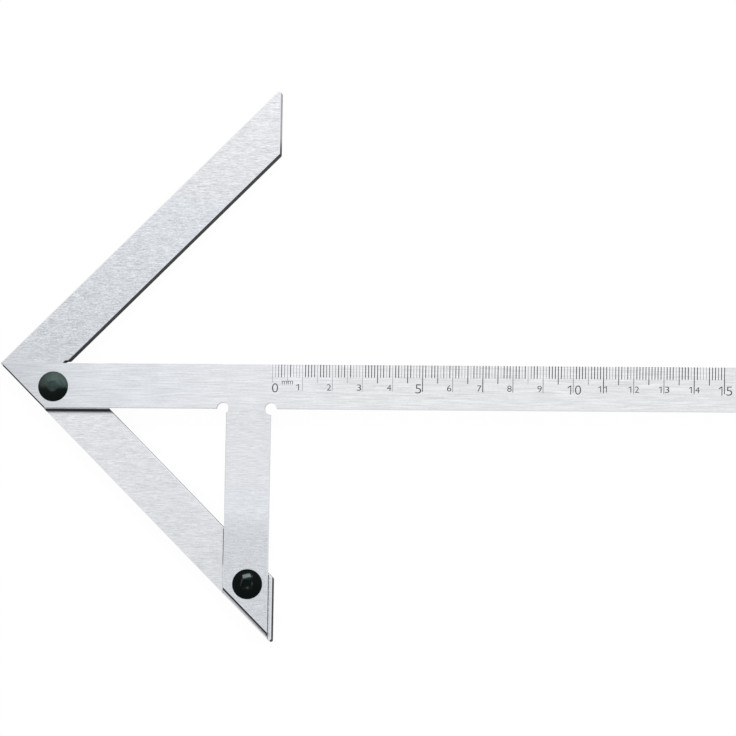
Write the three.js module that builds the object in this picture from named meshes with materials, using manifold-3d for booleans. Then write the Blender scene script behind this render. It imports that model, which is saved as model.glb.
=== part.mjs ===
// A centre square. A flat V stop lies against round stock, a graduated blade runs along the V's bisector on top
// of the stop, and the blade's brace comes down on the stop's lower leg. Two rivets hold the blade to the stop.
// Millimetres, +Z up, lying on the stop's underside at z = 0. The blade points along +X.
// Every outline is drawn from the V's outer tip, and the whole square is then centred along the blade.
import * as THREE from "three";
import { mergeVertices } from "three/addons/utils/BufferGeometryUtils.js";
import Module from "manifold-3d";

// V stop: one plate, its two legs cut off square to the bisector
const vAngle = Math.PI / 2;
const legLength = 130.7; // outer edge of a leg, from the tip
const legWidth = 15.5;
const stopThickness = 6;
const stopEdgeBreak = 0.3;
const legEndRadius = 0.6; // upright corners of the cut ends
const cornerSlotWidth = 2.4; // slot that clears the V's inner corner
const cornerSlotDepth = 0.8; // how far it runs past the corner, towards the tip

// Blade and brace: one plate, its graduated edge on the bisector
const bladeWidth = 14.7;
const bladeThickness = 2.5;
const bladeEdgeBreak = 0.2;
const bladeEndMargin = 3.7; // bare steel past the last line
const braceWidth = 14.8;
const braceEndMargin = 1.3; // strip of the stop's leg left bare past the brace
const bladeFootSetback = 0.5; // from the stop's outer edge to the blade's slanted foot
const braceFootSetback = 0.7; // the same for the brace's foot
const reliefRadius = 2; // holes that clear the two corners between blade and brace
const windowReliefOffset = 1.25; // hole centre to the brace, on the side towards the tip

// Graduation: lines etched across the blade's top face from its working edge
const zeroOffset = 0.5; // from the brace's far edge to the zero line
const scaleLength = 150;
const linePitch = 1;
const lineWidth = 0.18;
const lineDepth = 0.1;
const unitLineLength = 4.2;
const halfLineLength = 6;
const fullLineLength = 8.8;
const linesPerHalf = 5;
const linesPerFull = 10;

// Rivets: domed head on the blade, tail spread into a countersink in the stop and ground flush
const apexRivetInset = 7.4; // centre to the stop's outer edge
const apexRivetShift = 0.5; // centre to the blade's middle line, towards the brace
const braceRivetInset = 8; // centre to the stop's outer edge
const braceRivetShift = 0.7; // centre to the brace's middle line, towards the leg's end
const shankRadius = 2.5;
const rivetClearance = 0.1;
const headRadius = 5;
const headRim = 0.25;
const domeRise = 1.6;
const dimpleRadius = 1.9;
const dimpleDepth = 0.3;
const tailRadius = 4;
const tailDepth = 1.8;

// Modelling values
const cutOverrun = 1; // how far a cutter reaches past the face that it cuts
const weldDistance = 0.0001;
const holeFacets = 36;
const cornerFacets = 6;
const domeFacets = 9;
const dimpleFacets = 3;

// Derived places
const halfAngle = vAngle / 2;
const legEndX = legLength * Math.cos(halfAngle);
const innerCornerX = legWidth / Math.sin(halfAngle);
const braceFarX = legEndX - braceEndMargin;
const braceNearX = braceFarX - braceWidth;
const scaleZero = braceFarX + zeroOffset;
const bladeLength = scaleZero + scaleLength + bladeEndMargin;
const bladeTop = stopThickness + bladeThickness;

// The slanted edges run along the lower leg, set in from its outer edge
const slantX = (setback, y) => setback / Math.sin(halfAngle) - y / Math.tan(halfAngle);
const slantY = (setback, x) => setback / Math.cos(halfAngle) - x * Math.tan(halfAngle);

// Each rivet stands a little off the crossing of the plates' middle lines
const apexRivetY = -bladeWidth / 2 - apexRivetShift;
const braceRivetX = braceFarX - braceWidth / 2 + braceRivetShift;
const rivets = [
  { name: "apex_rivet", x: slantX(apexRivetInset, apexRivetY), y: apexRivetY },
  { name: "brace_rivet", x: braceRivetX, y: slantY(braceRivetInset, braceRivetX) },
];

const groundSteel = { color: 0xdcdfe3, roughness: 0.32, metalness: 0.9 };
const blackFinish = { color: 0x14191a, roughness: 0.3, metalness: 0.5 };

const wasm = await Module();
wasm.setup();

// A closed three.js geometry as a solid that can be cut
function solidOf(geometry) {
  const bare = geometry.index ? geometry.toNonIndexed() : geometry.clone();
  bare.deleteAttribute("normal");
  bare.deleteAttribute("uv");
  const welded = mergeVertices(bare, weldDistance);
  return new wasm.Manifold(
    new wasm.Mesh({
      numProp: 3,
      vertProperties: welded.attributes.position.array,
      triVerts: new Uint32Array(welded.index.array),
    }),
  );
}

function meshOf(name, solid, finish) {
  const cut = solid.getMesh();
  const indexed = new THREE.BufferGeometry();
  indexed.setAttribute("position", new THREE.BufferAttribute(cut.vertProperties, cut.numProp));
  indexed.setIndex(new THREE.BufferAttribute(cut.triVerts, 1));
  const faceted = indexed.toNonIndexed();
  faceted.computeVertexNormals();
  const mesh = new THREE.Mesh(faceted, new THREE.MeshStandardMaterial(finish));
  mesh.name = name;
  return mesh;
}

// An outline through corners [x, y, radius], counter-clockwise, each corner rounded to its radius
function outline(corners) {
  const shape = new THREE.Shape();
  const at = (i) => new THREE.Vector2(...corners[(i + corners.length) % corners.length]);
  corners.forEach(([x, y, radius], i) => {
    if (!radius) {
      shape[i ? "lineTo" : "moveTo"](x, y);
      return;
    }
    const back = at(i - 1).sub(at(i)).normalize();
    const ahead = at(i + 1).sub(at(i)).normalize();
    const halfCorner = Math.acos(back.dot(ahead)) / 2;
    const start = at(i).addScaledVector(back, radius / Math.tan(halfCorner));
    const end = at(i).addScaledVector(ahead, radius / Math.tan(halfCorner));
    const middle = back.clone().add(ahead).normalize();
    const centre = at(i).addScaledVector(middle, radius / Math.sin(halfCorner));
    shape[i ? "lineTo" : "moveTo"](start.x, start.y);
    const from = start.sub(centre).angle();
    const to = end.sub(centre).angle();
    shape.absarc(centre.x, centre.y, radius, from, to, back.cross(ahead) > 0);
  });
  return shape;
}

// A plate of an outline, its upper and lower edges broken by a small chamfer
function plate(shape, thickness, edgeBreak) {
  return new THREE.ExtrudeGeometry(shape, {
    depth: thickness - 2 * edgeBreak,
    bevelThickness: edgeBreak,
    bevelSize: edgeBreak,
    bevelOffset: -edgeBreak,
    bevelSegments: 1,
    curveSegments: cornerFacets,
  }).translate(0, 0, edgeBreak);
}

// A drill through everything at x, y
function drill(radius, x, y) {
  const length = bladeTop + 2 * cutOverrun;
  const bit = new THREE.CylinderGeometry(radius, radius, length, holeFacets).rotateX(Math.PI / 2);
  return solidOf(bit.translate(x, y, bladeTop / 2));
}

// The cone of a rivet's tail and the countersink that takes it: radius at a height above the underside
const tailConeRadius = (z) => tailRadius + ((shankRadius - tailRadius) * z) / tailDepth;

function turned(profile, x, y) {
  const points = profile.map(([radius, z]) => new THREE.Vector2(radius, z));
  return solidOf(new THREE.LatheGeometry(points, holeFacets).rotateX(Math.PI / 2).translate(x, y, 0));
}

function countersink({ x, y }) {
  const profile = [
    [0, -cutOverrun],
    [tailConeRadius(-cutOverrun) + rivetClearance, -cutOverrun],
    [shankRadius + rivetClearance, tailDepth],
    [0, tailDepth],
  ];
  return turned(profile, x, y);
}

function makeStop() {
  const slotHalf = cornerSlotWidth / 2;
  const innerEndY = (legEndX - innerCornerX) * Math.tan(halfAngle);
  const outerEndY = legEndX * Math.tan(halfAngle);
  const shape = outline([
    [0, 0, 0],
    [legEndX, -outerEndY, legEndRadius],
    [legEndX, -innerEndY, legEndRadius],
    [innerCornerX, 0, 0],
    [legEndX, innerEndY, legEndRadius],
    [legEndX, outerEndY, legEndRadius],
  ]);
  const slotEnd = innerCornerX - cornerSlotDepth + slotHalf;
  const mill = new THREE.BoxGeometry(legWidth, cornerSlotWidth, stopThickness + 2 * cutOverrun);
  let stop = solidOf(plate(shape, stopThickness, stopEdgeBreak))
    .subtract(solidOf(mill.translate(slotEnd + legWidth / 2, 0, stopThickness / 2)))
    .subtract(drill(slotHalf, slotEnd, 0));
  for (const rivet of rivets) {
    stop = stop.subtract(drill(shankRadius + rivetClearance, rivet.x, rivet.y)).subtract(countersink(rivet));
  }
  return stop;
}

// One etched line, from beyond the working edge down to its own length
function etchedLine(index) {
  let length = unitLineLength;
  if (index % linesPerHalf === 0) length = halfLineLength;
  if (index % linesPerFull === 0 && index > 0) length = fullLineLength;
  const cutter = new THREE.BoxGeometry(lineWidth, length + cutOverrun, lineDepth + cutOverrun);
  const x = scaleZero + index * linePitch;
  return solidOf(cutter.translate(x, (cutOverrun - length) / 2, bladeTop + (cutOverrun - lineDepth) / 2));
}

function makeBlade() {
  const stock = bladeEdgeBreak + cutOverrun; // left on the working edge, then cut off to leave it sharp
  const shape = outline([
    [slantX(bladeFootSetback, stock), stock, 0],
    [slantX(bladeFootSetback, -bladeWidth), -bladeWidth, 0],
    [braceNearX, -bladeWidth, 0],
    [braceNearX, slantY(braceFootSetback, braceNearX), 0],
    [braceFarX, slantY(braceFootSetback, braceFarX), 0],
    [braceFarX, -bladeWidth, 0],
    [bladeLength, -bladeWidth, 0],
    [bladeLength, stock, 0],
  ]);
  const trim = new THREE.BoxGeometry(2 * bladeLength, stock + cutOverrun, bladeThickness + 2 * cutOverrun);
  trim.translate(bladeLength / 2, (stock + cutOverrun) / 2, stopThickness + bladeThickness / 2);
  let blade = solidOf(plate(shape, bladeThickness, bladeEdgeBreak).translate(0, 0, stopThickness))
    .subtract(solidOf(trim))
    .subtract(drill(reliefRadius, braceNearX - windowReliefOffset, -bladeWidth))
    .subtract(drill(reliefRadius, braceFarX, -bladeWidth));
  for (const rivet of rivets) {
    blade = blade.subtract(drill(shankRadius + rivetClearance, rivet.x, rivet.y));
  }
  for (let index = 0; index * linePitch <= scaleLength; index++) {
    blade = blade.subtract(etchedLine(index));
  }
  return blade;
}

// A rivet's half section: flush tail, shank, domed head, and the dimple that the setting tool leaves
function makeRivet({ x, y }) {
  const domeRadius = (headRadius ** 2 + domeRise ** 2) / (2 * domeRise);
  const domeCentre = bladeTop + headRim + domeRise - domeRadius;
  const domeZ = (radius) => domeCentre + Math.sqrt(domeRadius ** 2 - radius ** 2);
  const profile = [
    [0, 0],
    [tailRadius, 0],
    [shankRadius, tailDepth],
    [shankRadius, bladeTop],
    [headRadius, bladeTop],
  ];
  const startAngle = Math.asin(headRadius / domeRadius);
  const endAngle = Math.asin(dimpleRadius / domeRadius);
  for (let i = 0; i <= domeFacets; i++) {
    const angle = THREE.MathUtils.lerp(startAngle, endAngle, i / domeFacets);
    profile.push([domeRadius * Math.sin(angle), domeCentre + domeRadius * Math.cos(angle)]);
  }
  for (let i = dimpleFacets - 1; i >= 0; i--) {
    const share = i / dimpleFacets;
    profile.push([dimpleRadius * share, domeZ(dimpleRadius) - dimpleDepth * (1 - share ** 2)]);
  }
  return turned(profile, x, y);
}

const centreSquare = new THREE.Group();
centreSquare.add(meshOf("v_stop", makeStop(), groundSteel));
centreSquare.add(meshOf("graduated_blade", makeBlade(), groundSteel));
for (const rivet of rivets) {
  centreSquare.add(meshOf(rivet.name, makeRivet(rivet), blackFinish));
}
centreSquare.position.x = -bladeLength / 2;

export default centreSquare;
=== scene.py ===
import math

import bpy
from mathutils import Matrix, Vector


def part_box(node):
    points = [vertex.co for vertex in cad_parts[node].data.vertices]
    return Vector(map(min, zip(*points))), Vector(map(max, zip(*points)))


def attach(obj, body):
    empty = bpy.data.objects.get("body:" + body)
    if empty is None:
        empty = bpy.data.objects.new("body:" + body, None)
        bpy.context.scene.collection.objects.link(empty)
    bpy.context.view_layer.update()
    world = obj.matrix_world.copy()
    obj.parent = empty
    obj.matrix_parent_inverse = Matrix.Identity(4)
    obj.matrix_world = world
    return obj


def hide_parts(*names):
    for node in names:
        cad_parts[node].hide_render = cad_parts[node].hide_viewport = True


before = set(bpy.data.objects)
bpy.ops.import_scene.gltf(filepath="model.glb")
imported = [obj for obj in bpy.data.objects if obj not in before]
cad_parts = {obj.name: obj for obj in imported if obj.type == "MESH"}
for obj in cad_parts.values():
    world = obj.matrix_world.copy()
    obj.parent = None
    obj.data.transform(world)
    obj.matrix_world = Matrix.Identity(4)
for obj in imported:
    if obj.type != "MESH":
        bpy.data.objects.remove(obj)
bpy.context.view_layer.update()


# The camera. The square lies flat on a pale sheet and fills the picture's width. A long lens looks almost
# straight down on it and leans a little towards the brace and the blade's free end, so that the faces on
# those sides show.
aim = Vector((0.00045, -0.00072, 0.006))
lean = Vector((0.105, -0.100, 1)).normalized()
camera_distance = 3.0
camera_roll = 0.01735
picture_width = 0.24386
sensor_width = 36
farthest_view = 20
level = Vector((0, 1, 0)).cross(lean).normalized()
upright = lean.cross(level)
across = level * math.cos(camera_roll) + upright * math.sin(camera_roll)
along = upright * math.cos(camera_roll) - level * math.sin(camera_roll)
turn = Matrix((across, along, lean)).transposed().to_4x4()
bpy.ops.object.select_all(action="DESELECT")
bpy.ops.object.camera_add()
camera = bpy.context.object
camera.matrix_world = Matrix.Translation(aim + lean * camera_distance) @ turn
camera.data.sensor_width = sensor_width
camera.data.lens = sensor_width * camera_distance / picture_width
camera.data.clip_end = farthest_view
bpy.context.scene.camera = camera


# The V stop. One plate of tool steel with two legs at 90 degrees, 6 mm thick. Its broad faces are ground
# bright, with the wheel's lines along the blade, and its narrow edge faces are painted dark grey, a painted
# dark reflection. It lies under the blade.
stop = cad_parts["v_stop"]
stop_low, stop_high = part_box("v_stop")

# The steel pieces and the numerals are measured in millimetres, and their x is counted from the V's tip
mm = 0.001
tip_x = stop_low.x / mm
leg_end_x = stop_high.x / mm - tip_x
stop_top = stop_high.z / mm
stop_edge_break = 0.3
blade_width = 14.7
brace_width = 14.8
brace_end_margin = 1.3
zero_offset = 0.5
brace_far_x = leg_end_x - brace_end_margin
brace_near_x = brace_far_x - brace_width
zero_x = brace_far_x + zero_offset


def feed(tree, socket, value):
    """Gives a socket a plain value, or links another node's output to it."""
    if isinstance(value, bpy.types.NodeSocket):
        tree.links.new(value, socket)
    else:
        socket.default_value = value


def reckon(tree, operation, *values):
    """The result of a sum, product or comparison of numbers."""
    node = tree.nodes.new("ShaderNodeMath")
    node.operation = operation
    for socket, value in zip(node.inputs, values):
        feed(tree, socket, value)
    return node.outputs[0]


def product(tree, *values):
    """Numbers multiplied together."""
    total, *others = values
    for value in others:
        total = reckon(tree, "MULTIPLY", total, value)
    return total


def largest(tree, *values):
    """The largest of some numbers."""
    most, *others = values
    for value in others:
        most = reckon(tree, "MAXIMUM", most, value)
    return most


def over(tree, value, limit):
    """1 where a value is over its limit, and 0 elsewhere."""
    return reckon(tree, "GREATER_THAN", value, limit)


def under(tree, value, limit):
    """1 where a value is under its limit, and 0 elsewhere."""
    return reckon(tree, "LESS_THAN", value, limit)


def apart(tree, value, middle):
    """How far a value lies from a middle, to either side."""
    return reckon(tree, "ABSOLUTE", reckon(tree, "SUBTRACT", value, middle))


def rest_of(tree, share):
    """What a share leaves of 1."""
    return reckon(tree, "SUBTRACT", 1, share)


def fade(tree, value, start, end, first=0.0, last=1.0, smooth=True):
    """A number that goes from first to last while value goes from start to end."""
    node = tree.nodes.new("ShaderNodeMapRange")
    node.interpolation_type = "SMOOTHSTEP" if smooth else "LINEAR"
    sockets = ("Value", "From Min", "From Max", "To Min", "To Max")
    for socket, given in zip(sockets, (value, start, end, first, last)):
        feed(tree, node.inputs[socket], given)
    return node.outputs["Result"]


def mixed(tree, share, first, last):
    """A number that is first where share is 0 and last where it is 1."""
    return fade(tree, share, 0, 1, first, last)


def graded(tree, position, greys):
    """The grey for a position from 0 to 1, read off a list of positions and their greys."""
    node = tree.nodes.new("ShaderNodeValToRGB")
    ramp = node.color_ramp
    for element, (share, grey) in zip(ramp.elements, (greys[0], greys[-1])):
        element.position = share
        element.color = (grey, grey, grey, 1)
    for share, grey in greys[1:-1]:
        ramp.elements.new(share).color = (grey, grey, grey, 1)
    tree.links.new(position, node.inputs[0])
    return node.outputs[0]


def millimetres(tree):
    """The point on the piece in millimetres: one vector, its x from the V's tip, its y and its z."""
    place = tree.nodes.new("ShaderNodeTexCoord").outputs["Object"]
    scaled = tree.nodes.new("ShaderNodeVectorMath")
    scaled.operation = "SCALE"
    scaled.inputs["Scale"].default_value = 1 / mm
    tree.links.new(place, scaled.inputs[0])
    parts = tree.nodes.new("ShaderNodeSeparateXYZ")
    tree.links.new(scaled.outputs[0], parts.inputs[0])
    from_tip = reckon(tree, "SUBTRACT", parts.outputs["X"], tip_x)
    return scaled.outputs[0], from_tip, parts.outputs["Y"], parts.outputs["Z"]


def from_outer_edge(tree, x, y):
    """How far a point lies in from the lower leg's outer edge."""
    return reckon(tree, "DIVIDE", reckon(tree, "ADD", x, y), math.sqrt(2))


def facing(tree):
    """The surface's own direction, as three numbers."""
    parts = tree.nodes.new("ShaderNodeSeparateXYZ")
    tree.links.new(tree.nodes.new("ShaderNodeNewGeometry").outputs["Normal"], parts.inputs[0])
    return parts.outputs["X"], parts.outputs["Y"], parts.outputs["Z"]


def grain(tree, place, size, detail=1.0, shift=0.0):
    """Noise from about 0 to 1, its specks as long along the blade and as wide across it as size says."""
    length, width = size
    stretch = tree.nodes.new("ShaderNodeMapping")
    stretch.inputs["Location"].default_value = (shift, shift, 0)
    stretch.inputs["Scale"].default_value = (1 / length, 1 / width, 1 / width)
    tree.links.new(place, stretch.inputs["Vector"])
    noise = tree.nodes.new("ShaderNodeTexNoise")
    noise.inputs["Scale"].default_value = 1
    noise.inputs["Detail"].default_value = detail
    tree.links.new(stretch.outputs[0], noise.inputs["Vector"])
    return noise.outputs[0]


def varied(tree, *grains):
    """1 plus each grain's swing round its middle, times its own strength."""
    total = 1.0
    for noise, strength in grains:
        swing = reckon(tree, "SUBTRACT", noise, 0.5)
        total = reckon(tree, "ADD", total, product(tree, swing, strength))
    return total


def tinted(tree, tint, tone):
    """A tint times a brightness."""
    node = tree.nodes.new("ShaderNodeVectorMath")
    node.operation = "SCALE"
    feed(tree, node.inputs[0], tint)
    feed(tree, node.inputs["Scale"], tone)
    return node.outputs[0]


def between(tree, share, first, last):
    """A tint that goes from first to last while share goes from 0 to 1."""
    node = tree.nodes.new("ShaderNodeCombineXYZ")
    for socket, start, end in zip(node.inputs, first, last):
        feed(tree, socket, fade(tree, share, 0, 1, start, end, smooth=False))
    return node.outputs[0]


def new_finish(name, metallic):
    """An empty finish with its shader."""
    finish = bpy.data.materials.new(name)
    finish.use_nodes = True
    shader = finish.node_tree.nodes["Principled BSDF"]
    shader.inputs["Metallic"].default_value = metallic
    return finish, finish.node_tree, shader


relief_strength = 0.6


def relief(tree, shader, height, depth):
    """Fine relief, as deep as the piece's real scratches or pits."""
    bump = tree.nodes.new("ShaderNodeBump")
    bump.inputs["Distance"].default_value = depth * mm
    bump.inputs["Strength"].default_value = relief_strength
    tree.links.new(height, bump.inputs["Height"])
    tree.links.new(bump.outputs[0], shader.inputs["Normal"])


specular_level = 0.05
scratch_depth = 0.01
noise_span = (0.3, 0.7)
ground_roughness = (0.30, 0.42)
dulled_roughness = 0.8


def grind(tree, shader, lines, dulled):
    """The shine and scratches of ground steel, dull on the painted-dark edges and under the black fill."""
    bare = fade(tree, lines, *noise_span, *ground_roughness)
    tree.links.new(mixed(tree, dulled, bare, dulled_roughness), shader.inputs["Roughness"])
    shader.inputs["Specular IOR Level"].default_value = specular_level
    relief(tree, shader, lines, scratch_depth)


def dress(piece, finish):
    """Gives a piece one finish all over."""
    piece.data.materials.clear()
    piece.data.materials.append(finish)


blue_steel = (0.968, 0.999, 1.052)
pale_steel = (0.984, 1.000, 1.034)
stop_finish, tree, shader = new_finish("ground_stop_steel", 1.0)
place, x, y, z = millimetres(tree)
face_x, face_y, face_z = facing(tree)

# The wheel's marks: short specks on the upper leg, strongest just past the corner, and longer, calmer lines
# on the lower one. A name in ends holds the two places between which something changes.
speck_size = (0.6, 0.18)
short_line_size = (1.6, 0.16)
line_size = (3.2, 0.18)
cloud_size = (9, 3)
cloud_strength = 0.05
corner_reach = 3
corner_ends = (0, 12)
calming_ends = (0, 70)
corner_speck_strength = 0.4
speck_strengths = (1.25, 0.5)
lower_short_strength = 0.40
short_strengths = (0.85, 0.70)
line_strengths = (0.50, 0.36)
# The ends and greys of the painted light on the two legs
upper_ends = (0, 90)
upper_greys = (0.596, 0.738)
lower_ends = (-78, -18)
lower_greys = (0.668, 0.710)
specks = grain(tree, place, speck_size)
short_lines = grain(tree, place, short_line_size, shift=13)
lines = grain(tree, place, line_size, shift=7)
clouds = grain(tree, place, cloud_size, shift=3)
on_upper = fade(tree, y, -corner_reach, corner_reach)
on_lower = rest_of(tree, on_upper)
past_corner = fade(tree, y, *calming_ends, *speck_strengths, smooth=False)
speck_swing = fade(tree, y, *corner_ends, corner_speck_strength, past_corner)
up_leg = fade(tree, y, *calming_ends, *short_strengths, smooth=False)
short_swing = mixed(tree, on_upper, lower_short_strength, up_leg)
line_swing = mixed(tree, on_upper, *line_strengths)
ground = varied(tree, (specks, speck_swing), (short_lines, short_swing), (lines, line_swing),
                (clouds, cloud_strength))
# Painted light: the upper leg's grey brightens towards its end, and the lower leg's towards the corner
upper_tone = fade(tree, y, *upper_ends, *upper_greys, smooth=False)
lower_tone = fade(tree, y, *lower_ends, *lower_greys, smooth=False)
broad_tone = reckon(tree, "ADD", product(tree, on_upper, upper_tone), product(tree, on_lower, lower_tone))

# Painted shadow lies in the seam below the blade's lower edge, dark a little below the edge and then fading
# out.
# Its greys are given by their depth below that edge.
seam_shadow_width = 2.4
seam_shadow_greys = ((0.15, 0.80), (0.42, 0.03), (1.00, 0.03), (1.15, 0.12), (1.31, 0.27), (1.48, 0.45),
              (1.64, 0.64), (1.80, 0.80), (2.00, 0.92))
below_blade = reckon(tree, "SUBTRACT", -blade_width, y)
seam_shadow_shares = [(depth / seam_shadow_width, grey) for depth, grey in seam_shadow_greys]
seam_shadow_tone = graded(tree, reckon(tree, "DIVIDE", below_blade, seam_shadow_width), [(0, 1), *seam_shadow_shares, (1, 1)])
beside_blade = under(tree, below_blade, 0)
seam_shadow_tone = largest(tree, seam_shadow_tone, beside_blade)

# The painted shadow also lies along the slanted feet. A foot's line is given by its four distances from the
# stop's outer edge: where it begins, is darkest, stays dark to, and ends. The stop carries its outer half,
# and the blade the inner.
brace_foot_shadow_line = (0.55, 1.22, 1.47, 1.62)
tip_foot_shadow_line = (0.02, 0.20, 0.56, 0.64)
foot_shadow_grey = 0.03
tip_shadow_grey = 0.02
faint_shadow_grey = 0.95
tip_edge_grey = 0.9
tip_foot_y = -0.6
near_line_offset = 0.2
foot_overrun = 0.1
near_line_x = brace_near_x - near_line_offset
from_outer = from_outer_edge(tree, x, y)
at_brace = product(tree, over(tree, x, near_line_x), under(tree, y, -blade_width))
brace_foot_shadow_tone = fade(tree, from_outer, *brace_foot_shadow_line[:2], faint_shadow_grey, foot_shadow_grey)
past_brace = over(tree, x, brace_far_x + foot_overrun)
brace_foot_shadow_tone = largest(tree, brace_foot_shadow_tone, rest_of(tree, at_brace), past_brace)
at_tip = product(tree, under(tree, y, tip_foot_y), beside_blade)
tip_foot_shadow_tone = fade(tree, from_outer, *tip_foot_shadow_line[:2], tip_edge_grey, tip_shadow_grey)
tip_foot_shadow_tone = mixed(tree, at_tip, 1.0, tip_foot_shadow_tone)
tip_foot_shadow_tone = largest(tree, tip_foot_shadow_tone, over(tree, from_outer, tip_foot_shadow_line[3]))

# On both sides of the brace the painted shadow is a thin, broken line, but thick on the upper stretch of the
# side towards the tip, the near one. A reach holds how far from its middle a line is at its darkest, and
# where it has gone.
shade_patch_size = (0.5, 0.45)
patch_edge = (0.42, 0.58)
near_thick_reach = (0.2, 0.4)
near_thin_reach = (0.1, 0.25)
far_reach = (0.08, 0.2)
near_thick_grey = 0.06
near_thin_grey = 0.3
far_grey = 0.35
broken_shade_grey = 0.9
thick_ends = (-68, -65)
brace_shade_top = -45
far_line_offset = 0.12
broken = fade(tree, grain(tree, place, shade_patch_size, shift=11), *patch_edge)
near_gap = apart(tree, x, near_line_x)
near_thick = fade(tree, near_gap, *near_thick_reach, near_thick_grey, 1)
near_thin = largest(tree, fade(tree, near_gap, *near_thin_reach, near_thin_grey, 1), broken)
near_tone = mixed(tree, fade(tree, y, *thick_ends), near_thin, near_thick)
far_gap = apart(tree, x, brace_far_x + far_line_offset)
far_tone = fade(tree, far_gap, *far_reach, far_grey, 1)
far_tone = largest(tree, far_tone, product(tree, broken, broken_shade_grey))
beside_brace_shadow_tone = largest(tree, product(tree, near_tone, far_tone), over(tree, y, brace_shade_top))
# All the painted shadow on the stop's top: along the seam, the feet and both sides of the brace
painted_shade_tone = product(tree, seam_shadow_tone, brace_foot_shadow_tone, tip_foot_shadow_tone, beside_brace_shadow_tone)
painted_shade_tone = largest(tree, painted_shade_tone, under(tree, face_z, 0))

# The edge faces are painted dark, a painted dark reflection, and so is the lower half of the upper leg's
# inner broken edge. Only the upper leg's cut end is painted a paler grey. The other broken edges are painted
# paler, a painted highlight, most of all the lower leg's inner one.
broad_limit = 0.9
edge_limit = 0.5
turned_limit = 0.9
dark_edge_patch_size = (2.5, 1.1)
dark_edge_patchiness = 0.8
dark_edge_grey = 0.055
pale_cut_grey = 0.38
pale_cut_ends = (72, 77)
bevel_ends = (-20, 60)
bevel_greys = (0.76, 0.84)
edge_glint_ends = (-26, -14)
edge_glint_tone = 0.93
edge_glint_metal = 0.2
lower_paleness = 0.75
pale_ends = (50, 60)
flatness = reckon(tree, "ABSOLUTE", face_z)
top_tone = product(tree, ground, broad_tone, painted_shade_tone)
dark_edge_patches = grain(tree, place, dark_edge_patch_size, detail=2, shift=5)
pale_cut_end = product(tree, over(tree, face_x, turned_limit), fade(tree, y, *pale_cut_ends))
dark_edge_tone = product(tree, varied(tree, (dark_edge_patches, dark_edge_patchiness)), dark_edge_grey)
dark_edge_tone = reckon(tree, "ADD", product(tree, pale_cut_end, pale_cut_grey), dark_edge_tone)
faces_opening = over(tree, reckon(tree, "SUBTRACT", face_x, face_y), turned_limit)
low_bevel = product(tree, faces_opening, under(tree, z, stop_top - stop_edge_break / 2))
painted_dark_edges = largest(tree, under(tree, flatness, edge_limit), low_bevel)
faces_upper_leg = over(tree, reckon(tree, "ADD", face_x, face_y), turned_limit)
edge_glint = product(tree, faces_upper_leg, fade(tree, y, *edge_glint_ends, 1, 0))
bevel_tone = product(tree, fade(tree, y, *bevel_ends, *bevel_greys), painted_shade_tone)
bevel_tone = mixed(tree, edge_glint, bevel_tone, edge_glint_tone)
tone = mixed(tree, over(tree, flatness, broad_limit), bevel_tone, top_tone)
tone = mixed(tree, painted_dark_edges, tone, dark_edge_tone)
pale_share = reckon(tree, "ADD", product(tree, on_lower, lower_paleness), fade(tree, y, *pale_ends))
stop_tint = between(tree, pale_share, blue_steel, pale_steel)
metal = product(tree, rest_of(tree, painted_dark_edges), mixed(tree, edge_glint, 1, edge_glint_metal))
tree.links.new(tinted(tree, stop_tint, tone), shader.inputs["Base Color"])
tree.links.new(metal, shader.inputs["Metallic"])
grind(tree, shader, lines, painted_dark_edges)
dress(stop, stop_finish)


# The blade and its brace. One T-shaped plate of the same steel, 2.5 mm thick, ground bright. Its upper edge
# is left sharp, and the millimetre lines are etched into its face from that edge and filled black.
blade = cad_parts["graduated_blade"]
blade_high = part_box("graduated_blade")[1]
blade_top = blade_high.z / mm
blade_length = (blade_high.x - stop_low.x) / mm
blade_finish, tree, shader = new_finish("ground_blade_steel", 1.0)
place, x, y, z = millimetres(tree)
flatness = reckon(tree, "ABSOLUTE", facing(tree)[2])

# The wheel's lines are long on the blade and shorter on the brace, whose foot has fine specks as well
blade_line_size = (9, 0.18)
brace_line_size = (3.0, 0.18)
blade_speck_size = (1.1, 0.18)
foot_speck_size = (0.5, 0.18)
band_size = (30, 1.6)
line_strength = 0.55
speck_strength = 0.28
foot_speck_strength = 0.7
band_strength = 0.06
root_reach = 1
foot_speck_ends = (-70, -25)
lines = grain(tree, place, blade_line_size, shift=2)
brace_lines = grain(tree, place, brace_line_size, shift=6)
specks = grain(tree, place, blade_speck_size, shift=9)
bands = grain(tree, place, band_size, shift=4)
foot_specks = grain(tree, place, foot_speck_size, shift=15)
on_brace = fade(tree, y, -blade_width - root_reach, -blade_width + root_reach, 1, 0)
near_foot = fade(tree, y, *foot_speck_ends, 1, 0)
ground = varied(tree, (lines, product(tree, rest_of(tree, on_brace), line_strength)),
                (brace_lines, product(tree, on_brace, line_strength)), (specks, speck_strength),
                (foot_specks, product(tree, near_foot, foot_speck_strength)), (bands, band_strength))

# Painted light along the blade: its grey at some shares of its length, darkest near the tip, and what the
# brace's is of it on the way down, darker at its foot
blade_shares = ((0.03, 0.585), (0.12, 0.693), (0.33, 0.730), (0.47, 0.719), (0.69, 0.727), (1.0, 0.722))
brace_foot_ends = (-58, -47)
brace_foot_shares = (0.885, 1.03)
brace_root_ends = (-45, -20)
brace_root_shares = (0.955, 0.930)
side_patchiness = 0.4
side_grey = 0.74
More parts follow.
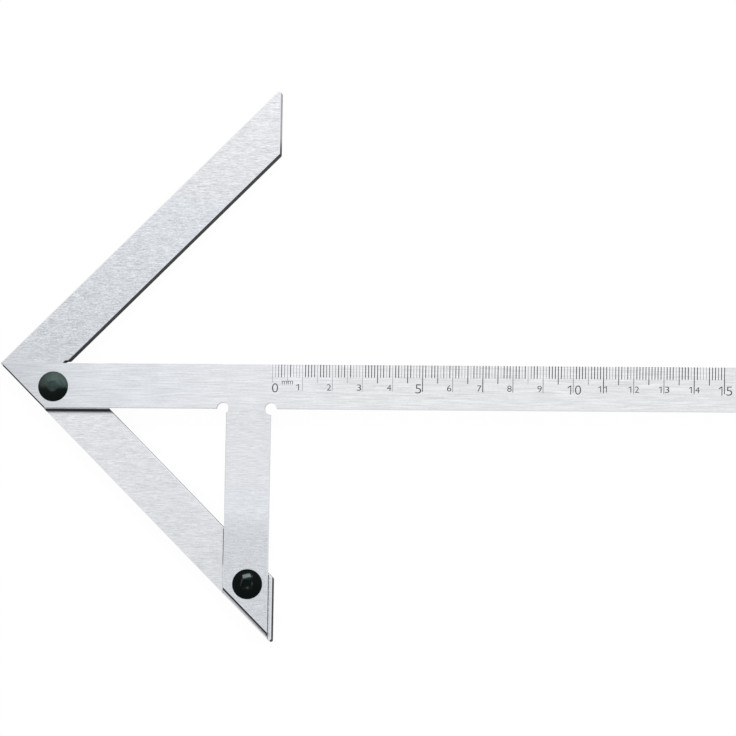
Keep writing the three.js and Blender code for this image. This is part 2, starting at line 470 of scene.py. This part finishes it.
# The broken edges are painted paler than the face, a painted highlight
bevel_grey = 0.80
blade_tone = graded(tree, reckon(tree, "DIVIDE", x, blade_length), blade_shares)
down_brace = product(tree, fade(tree, y, *brace_foot_ends, *brace_foot_shares),
                     fade(tree, y, *brace_root_ends, *brace_root_shares, smooth=False))
top_tone = product(tree, ground, blade_tone, mixed(tree, on_brace, 1.0, down_brace))
on_side = under(tree, flatness, edge_limit)
side_tone = product(tree, varied(tree, (specks, side_patchiness)), side_grey)
tone = mixed(tree, over(tree, flatness, edge_limit), side_tone, bevel_grey)
tone = mixed(tree, over(tree, flatness, broad_limit), tone, top_tone)

# The slanted feet carry the inner half of the painted shadow lines that the stop beside them begins
from_outer = from_outer_edge(tree, x, y)
foot_rim_shadow_tone = fade(tree, from_outer, *brace_foot_shadow_line[:2], faint_shadow_grey, foot_shadow_grey)
foot_rim_shadow_tone = product(tree, foot_rim_shadow_tone, rest_of(tree, on_side))
brace_foot_shadow_tone = fade(tree, from_outer, *brace_foot_shadow_line[2:], foot_shadow_grey, 1)
brace_foot_shadow_tone = largest(tree, foot_rim_shadow_tone, brace_foot_shadow_tone)
tip_foot_shadow_tone = fade(tree, from_outer, *tip_foot_shadow_line[2:], foot_shadow_grey, 1)
foot_shadow_tone = mixed(tree, under(tree, y, -blade_width), tip_foot_shadow_tone, brace_foot_shadow_tone)
tone = product(tree, tone, foot_shadow_tone)

# Black fill in the etched lines, and a hair beyond them on the face. It sits unevenly from line to line, and
# darker towards the far end. The zero line is no longer than a half line. The steel between the lines is
# polished a little brighter.
scale_length = 150
unit_line = 4.2
half_line = 6.0
full_line = 8.8
lines_per_half = 5
lines_per_full = 10
half_pitch = 0.5
fill_half_width = 0.135
fill_depth = 0.15
fill_seed = 37473
fill_greys = (0.01, 0.60)
worn_span = (0.35, 0.8)
less_worn_ends = (20, 140)
less_worn_shares = (-0.05, 0.17)
land_gain = 1.07
rounding = 0.1


def is_multiple(tree, number, step):
    """1 where a whole number is a multiple of step, and 0 elsewhere."""
    return reckon(tree, "COMPARE", reckon(tree, "MODULO", number, step), 0, rounding)


along_scale = reckon(tree, "SUBTRACT", x, zero_x)
line_number = reckon(tree, "ROUND", along_scale)
off_line = apart(tree, along_scale, line_number)
on_half = is_multiple(tree, line_number, lines_per_half)
on_full = product(tree, is_multiple(tree, line_number, lines_per_full), over(tree, line_number, half_pitch))
line_length = mixed(tree, on_half, unit_line, half_line)
line_length = mixed(tree, on_full, line_length, full_line)
in_scale = product(tree, over(tree, line_number, -half_pitch),
                   under(tree, line_number, scale_length + half_pitch), over(tree, z, blade_top - fill_depth))
from_edge = reckon(tree, "MULTIPLY", y, -1)
land = product(tree, in_scale, under(tree, from_edge, unit_line))
filled = product(tree, in_scale, under(tree, from_edge, line_length), under(tree, off_line, fill_half_width))
by_line = tree.nodes.new("ShaderNodeTexWhiteNoise")
by_line.noise_dimensions = "1D"
tree.links.new(reckon(tree, "ADD", line_number, fill_seed), by_line.inputs["W"])
less_worn = fade(tree, along_scale, *less_worn_ends, *less_worn_shares)
worn_share = reckon(tree, "SUBTRACT", by_line.outputs["Value"], less_worn)
fill_tone = fade(tree, worn_share, *worn_span, *fill_greys)
tone = product(tree, tone, mixed(tree, land, 1.0, land_gain))
tone = mixed(tree, filled, tone, fill_tone)

# The steel is bluest near the tip and on the brace's foot. The side faces are satin and show less shine.
plain_steel = (0.990, 1.000, 1.018)
blade_plain_ends = (30, 130)
brace_plain_ends = (-46, -38)
brace_plain_share = 0.5
satin_loss = 0.9
on_blade = fade(tree, x, *blade_plain_ends, smooth=False)
plain_share = mixed(tree, on_brace, on_blade, fade(tree, y, *brace_plain_ends, 0, brace_plain_share))
blade_tint = between(tree, plain_share, blue_steel, plain_steel)
metal = product(tree, rest_of(tree, product(tree, on_side, satin_loss)), rest_of(tree, filled))
tree.links.new(tinted(tree, blade_tint, tone), shader.inputs["Base Color"])
tree.links.new(metal, shader.inputs["Metallic"])
grind(tree, shader, lines, filled)
dress(blade, blade_finish)


# The numerals. Plain upright figures for the centimetres, etched and filled black like the lines, with a
# small unit sign after the zero. The 0, 5, 10 and 15 are larger. One figure stands left of its line, and two
# stand astride it.
figure_patch_size = (0.6, 0.3)
figure_patchiness = 0.9
figure_grey = 0.035
figure_tint = (1.0, 1.0, 1.03)
figure_roughness = 0.7
figure_rise = 0.01
figure_finish, tree, shader = new_finish("black_etch_fill", 0.0)
patches = grain(tree, millimetres(tree)[0], figure_patch_size, detail=2)
figure_tone = product(tree, varied(tree, (patches, figure_patchiness)), figure_grey)
tree.links.new(tinted(tree, figure_tint, figure_tone), shader.inputs["Base Color"])
shader.inputs["Roughness"].default_value = figure_roughness


def lay(figure, name, width, height, middle, top):
    """Lays a figure on the blade as a thin fill, its middle so far from the tip and its top from the edge."""
    low = Vector(map(min, *(v.co for v in figure.data.vertices)))
    high = Vector(map(max, *(v.co for v in figure.data.vertices)))
    centre = (low + high) / 2
    wide = mm * width / (high.x - low.x)
    tall = mm * height / (high.y - low.y)
    figure.name = name
    figure.scale = (wide, tall, mm * figure_rise / (high.z - low.z))
    figure.location = (mm * (tip_x + middle) - centre.x * wide,
                       -mm * (top + height / 2) - centre.y * tall,
                       mm * blade_top)
    bpy.ops.object.transform_apply()
    dress(figure, figure_finish)
    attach(figure, "root")


# Raw figures are made as deep as this, and lay() then gives them their rise
type_depth = 0.01
type_weld = 0.00001


def etch(name, text, width, height, middle, top, thinning):
    """A figure or sign of plain type, its strokes made thinner and its seams closed."""
    bpy.ops.object.select_all(action="DESELECT")
    bpy.ops.object.text_add()
    figure = bpy.context.object
    figure.data.body = text
    figure.data.extrude = type_depth
    figure.data.offset = -thinning
    bpy.ops.object.convert(target="MESH")
    bpy.ops.object.mode_set(mode="EDIT")
    bpy.ops.mesh.select_all(action="SELECT")
    bpy.ops.mesh.remove_doubles(threshold=type_weld)
    bpy.ops.object.mode_set(mode="OBJECT")
    bpy.ops.object.shade_flat()
    lay(figure, name, width, height, middle, top)


one_stroke = 0.28
one_depth = 0.1


def etch_one(name, width, height, middle, top):
    """A figure one: an upright stroke with a short flag at its head, cut out of a plane and thickened."""
    stroke_share = one_stroke / width
    flag_root_share = 0.86
    flag_tip_shares = (0.69, 0.80)
    corner_shares = ((1 - stroke_share, 0), (1, 0), (1, 1), (flag_root_share - stroke_share / 2, 1),
                     (0, flag_tip_shares[1]), (0, flag_tip_shares[0]), (1 - stroke_share, flag_root_share))
    bpy.ops.object.select_all(action="DESELECT")
    bpy.ops.mesh.primitive_circle_add(vertices=len(corner_shares), radius=1, fill_type="NGON")
    figure = bpy.context.object
    for vertex, corner in zip(figure.data.vertices, corner_shares):
        vertex.co = (*corner, 0)
    bpy.ops.object.mode_set(mode="EDIT")
    bpy.ops.mesh.select_all(action="SELECT")
    bpy.ops.mesh.extrude_region_move(TRANSFORM_OT_translate={"value": (0, 0, one_depth)})
    bpy.ops.mesh.select_all(action="SELECT")
    bpy.ops.mesh.normals_make_consistent(inside=False)
    bpy.ops.object.mode_set(mode="OBJECT")
    lay(figure, name, width, height, middle, top)


# Each row holds a figure's height, its width, a one's width, its top from the edge, how far right of the line
# the middle of the second of two figures is, and the thinning of its strokes
large_sizes = (3.0, 2.0, 1.15, 6.3, 1.6, 0.011)
small_sizes = (2.05, 1.45, 0.95, 6.5, 1.08, 0.006)
centimetre = 10
figures_per_large = 5
zero_right = 0.9
one_left = 1.6
figure_gap = 0.42
tens_left = 1.25
second_one_right = 0.65
for number in range(scale_length // centimetre + 1):
    sizes = small_sizes if number % figures_per_large else large_sizes
    height, width, one_width, top, second_right, thinning = sizes
    line_x = zero_x + centimetre * number
    last_figure = str(number % 10)
    if number == 0:
        etch("numeral_0", last_figure, width, height, line_x + zero_right, top, thinning)
    elif number == 1:
        etch_one("numeral_1", one_width, height, line_x - one_left, top)
    elif number < 10:
        figure_x = line_x - figure_gap - width / 2
        etch(f"numeral_{number}", last_figure, width, height, figure_x, top, thinning)
    else:
        etch_one(f"numeral_{number}_tens", one_width, height, line_x - tens_left, top)
        if number == 11:
            etch_one("numeral_11_ones", one_width, height, line_x + second_one_right, top)
        else:
            figure_x = line_x + second_right
            etch(f"numeral_{number}_ones", last_figure, width, height, figure_x, top, thinning)

unit_width = 3.7
unit_height = 1.2
unit_right = 5.0
unit_top = 5.4
unit_thinning = 0.004
etch("unit_sign", "mm", unit_width, unit_height, zero_x + unit_right, unit_top, unit_thinning)


# The rivets. Two blackened steel rivets: a flush tail spread into the stop's countersink, a 5 mm shank
# through both plates, and a low domed head with the shallow dimple that the setting tool leaves. The tails
# are ground bright.
shank_radius = 2.5
tail_radius = 4.0
tail_depth = 1.8
head_radius = 5.0
head_rim = 0.25
rim_round = 0.12
dome_rise = 1.599
dimple_radius = 1.9
dimple_depth = 0.3
round_facets = 96
rim_rings = 3
dome_rings = 24
dimple_rings = 10
smooth_angle = math.radians(35)
dome_radius = (head_radius ** 2 + dome_rise ** 2) / (2 * dome_rise)
dome_centre = blade_top + head_rim + dome_rise - dome_radius


def dome_height(radius):
    """The dome's height at a distance from its middle."""
    return dome_centre + math.sqrt(dome_radius ** 2 - radius ** 2)


def rivet_rings():
    """Radius and height of each ring, from the tail's flat end up, and in almost to the dimple's middle."""
    rings = [(shank_radius, tail_depth), (shank_radius, blade_top), (head_radius - rim_round, blade_top)]
    for step in range(1, rim_rings + 1):
        lift = math.pi / 2 * step / rim_rings
        radius = head_radius - rim_round * (1 - math.sin(lift))
        rings.append((radius, blade_top + rim_round * (1 - math.cos(lift))))
    for step in range(1, dome_rings + 1):
        radius = head_radius + (dimple_radius - head_radius) * step / dome_rings
        rings.append((radius, dome_height(radius)))
    for step in range(1, dimple_rings):
        share = step / dimple_rings
        fall = dimple_depth * (1 - (1 - share) ** 2) ** 1.5
        rings.append((dimple_radius * (1 - share), dome_height(dimple_radius) - fall))
    return rings


def turn_rivet(name, centre):
    """A rivet raised ring by ring from the flat end of its tail."""
    foot = (centre.x, centre.y, 0)
    bpy.ops.object.select_all(action="DESELECT")
    bpy.ops.mesh.primitive_circle_add(vertices=round_facets, radius=mm * tail_radius, fill_type="NGON",
                                      location=foot)
    rivet = bpy.context.object
    rivet.name = name
    bpy.ops.object.mode_set(mode="EDIT")
    bpy.ops.mesh.select_all(action="SELECT")
    radius, height = tail_radius, 0.0
    for ring_radius, ring_height in rivet_rings():
        rise = mm * (ring_height - height)
        ratio = ring_radius / radius
        bpy.ops.mesh.extrude_region_move(TRANSFORM_OT_translate={"value": (0, 0, rise)})
        bpy.ops.transform.resize(value=(ratio, ratio, 1), center_override=foot)
        radius, height = ring_radius, ring_height
    bpy.ops.mesh.select_all(action="SELECT")
    bpy.ops.mesh.normals_make_consistent(inside=False)
    bpy.ops.object.mode_set(mode="OBJECT")
    bpy.ops.object.transform_apply()
    bpy.ops.object.shade_smooth_by_angle(angle=smooth_angle)
    return rivet


# Painted sheen: the black is painted paler towards the graduated edge, more so to the right, and painted
# reflections lie in broken patches on the dimple's rim. Distances are from the rivet's middle.
mottle_size = (1.1, 0.9)
pit_size = (0.18, 0.16)
pit_strength = 0.5
pit_depth = 0.004
sideways_ends = (-4.5, 4.0)
sideways_gains = (0.65, 1.55)
sheen_ends = (-1.3, 1.1)
sheen_wander = 1.5
rim_reach = (0.1, 0.45)
rim_ends = (-1.6, 0.6)
low_rim_share = 0.25
roughness_swing = 0.02
tail_end = 0.05
tail_tint = (0.66, 0.67, 0.69)
tail_line_strength = 0.5
black_tint = (0.72, 1.08, 0.98)
shine_tint = (0.80, 1.02, 0.99, 1)


def blackened(name, centre, sheen_grey, black_grey, rim_glint_grey, roughness, unevenness):
    """Blackened steel, painted paler past its middle and on the dimple's rim as painted sheen, with a bright
    ground tail.
    """
    finish, tree, shader = new_finish(name, 0.0)
    place, x, y, z = millimetres(tree)
    mottle = grain(tree, place, mottle_size, detail=3)
    pits = grain(tree, place, pit_size, detail=2)
    lines = grain(tree, place, line_size, shift=7)
    right = reckon(tree, "SUBTRACT", x, centre.x / mm - tip_x)
    up = reckon(tree, "SUBTRACT", y, centre.y / mm)
    squares = reckon(tree, "ADD", reckon(tree, "POWER", right, 2), reckon(tree, "POWER", up, 2))
    off_rim = apart(tree, reckon(tree, "SQRT", squares), dimple_radius)
    sideways = fade(tree, right, *sideways_ends, *sideways_gains, smooth=False)
    wander = product(tree, reckon(tree, "SUBTRACT", mottle, 0.5), sheen_wander)
    # Painted sheen on the dome's upper part, and painted reflections on the dimple's rim
    painted_sheen = fade(tree, reckon(tree, "ADD", up, wander), *sheen_ends, black_grey,
                  product(tree, sideways, sheen_grey))
    rim = product(tree, fade(tree, off_rim, *rim_reach, rim_glint_grey, 0), fade(tree, mottle, *patch_edge),
                  fade(tree, up, *rim_ends, low_rim_share, 1))
    black = product(tree, varied(tree, (mottle, unevenness), (pits, pit_strength)),
                    reckon(tree, "ADD", painted_sheen, rim))
    on_tail = under(tree, z, tail_end)
    either = tree.nodes.new("ShaderNodeMix")
    either.data_type = "RGBA"
    tree.links.new(on_tail, either.inputs["Factor"])
    tree.links.new(tinted(tree, black_tint, black), either.inputs["A"])
    tree.links.new(tinted(tree, tail_tint, varied(tree, (lines, tail_line_strength))), either.inputs["B"])
    tree.links.new(either.outputs["Result"], shader.inputs["Base Color"])
    tree.links.new(on_tail, shader.inputs["Metallic"])
    swing = roughness_swing * unevenness
    tree.links.new(fade(tree, mottle, *noise_span, roughness - swing, roughness + swing),
                   shader.inputs["Roughness"])
    shader.inputs["Specular IOR Level"].default_value = specular_level
    shader.inputs["Specular Tint"].default_value = shine_tint
    relief(tree, shader, pits, pit_depth * unevenness)
    return finish


heads = bpy.data.collections.new("rivet_heads")
# For each rivet: the painted sheen's grey, the black's grey, the painted rim reflection's grey, the roughness
# and the unevenness
rivet_wear_and_sheen = {
    "apex_rivet": dict(sheen_grey=0.017, black_grey=0.0014, rim_glint_grey=0, roughness=0.5, unevenness=1),
    "brace_rivet": dict(sheen_grey=0.001, black_grey=0.001, rim_glint_grey=0.012, roughness=0.13, unevenness=0.3),
}
for name, wear_and_sheen in rivet_wear_and_sheen.items():
    low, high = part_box(name)
    centre = (low + high) / 2
    rivet = turn_rivet(name + "_turned", centre)
    dress(rivet, blackened("blackened_" + name, centre, **wear_and_sheen))
    heads.objects.link(rivet)
    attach(rivet, "root")
    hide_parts(name)


# The sheet that the square lies on: white, and so evenly lit that little shadow shows. From below it is
# clear, so that the underside can be seen. Its sizes and the lamps' are metres.
sheet_size = 8
sheet_drop = 0.0001
paper_white = (0.9, 0.9, 0.9, 1)
glow_white = (1, 1, 1, 1)
glow_strength = 1.02
glow_share = 0.94
bpy.ops.object.select_all(action="DESELECT")
bpy.ops.mesh.primitive_plane_add(size=sheet_size, location=(0, 0, -sheet_drop))
sheet = bpy.context.object
sheet.name = "sheet"


def looked_at(tree):
    """1 for rays that show the scene, by way of a mirror or glass too, and 0 for rays that light it."""
    rays = tree.nodes.new("ShaderNodeLightPath").outputs
    return largest(tree, rays["Is Camera Ray"], rays["Is Glossy Ray"], rays["Is Transmission Ray"])


paper = bpy.data.materials.new("white_sheet")
paper.use_nodes = True
tree = paper.node_tree
tree.nodes.clear()
matt = tree.nodes.new("ShaderNodeBsdfDiffuse")
matt.inputs["Color"].default_value = paper_white
glow = tree.nodes.new("ShaderNodeEmission")
glow.inputs["Color"].default_value = glow_white
glow.inputs["Strength"].default_value = glow_strength
lit = tree.nodes.new("ShaderNodeMixShader")
tree.links.new(product(tree, looked_at(tree), glow_share), lit.inputs[0])
tree.links.new(matt.outputs[0], lit.inputs[1])
tree.links.new(glow.outputs[0], lit.inputs[2])
clear = tree.nodes.new("ShaderNodeBsdfTransparent")
one_way = tree.nodes.new("ShaderNodeMixShader")
tree.links.new(tree.nodes.new("ShaderNodeNewGeometry").outputs["Backfacing"], one_way.inputs[0])
tree.links.new(lit.outputs[0], one_way.inputs[1])
tree.links.new(clear.outputs[0], one_way.inputs[2])
tree.links.new(one_way.outputs[0], tree.nodes.new("ShaderNodeOutputMaterial").inputs[0])
dress(sheet, paper)


# The light. A white room lights the square evenly, and a faint softbox stands past the graduated edge. A
# stronger lamp beside it lights only the rivets, whose domes catch it on that side.
room_light = 0.8
room_white = 1.0
room = bpy.data.worlds.new("white_room")
room.use_nodes = True
tree = room.node_tree
background = tree.nodes["Background"]
background.inputs["Color"].default_value = (1, 1, 1, 1)
tree.links.new(mixed(tree, looked_at(tree), room_light, room_white), background.inputs["Strength"])
bpy.context.scene.world = room

lamp_distance = 1.5


def add_softbox(name, width, height, power, direction):
    """A rectangular lamp that looks back at the middle of the square."""
    bpy.ops.object.light_add(type="AREA")
    lamp = bpy.context.object
    lamp.name = name
    lamp.data.shape = "RECTANGLE"
    lamp.data.size = width
    lamp.data.size_y = height
    lamp.data.energy = power
    towards = Vector(direction).normalized()
    lamp.location = towards * lamp_distance
    lamp.rotation_euler = towards.to_track_quat("Z", "Y").to_euler()
    return lamp


add_softbox("softbox", width=0.62, height=0.30, power=5, direction=(0.10, 0.62, 0.78))
glint = add_softbox("glint_lamp", width=0.9, height=0.46, power=70, direction=(-0.16, 0.62, 0.78))
glint.light_linking.receiver_collection = heads

bpy.context.scene.view_settings.view_transform = "Standard"
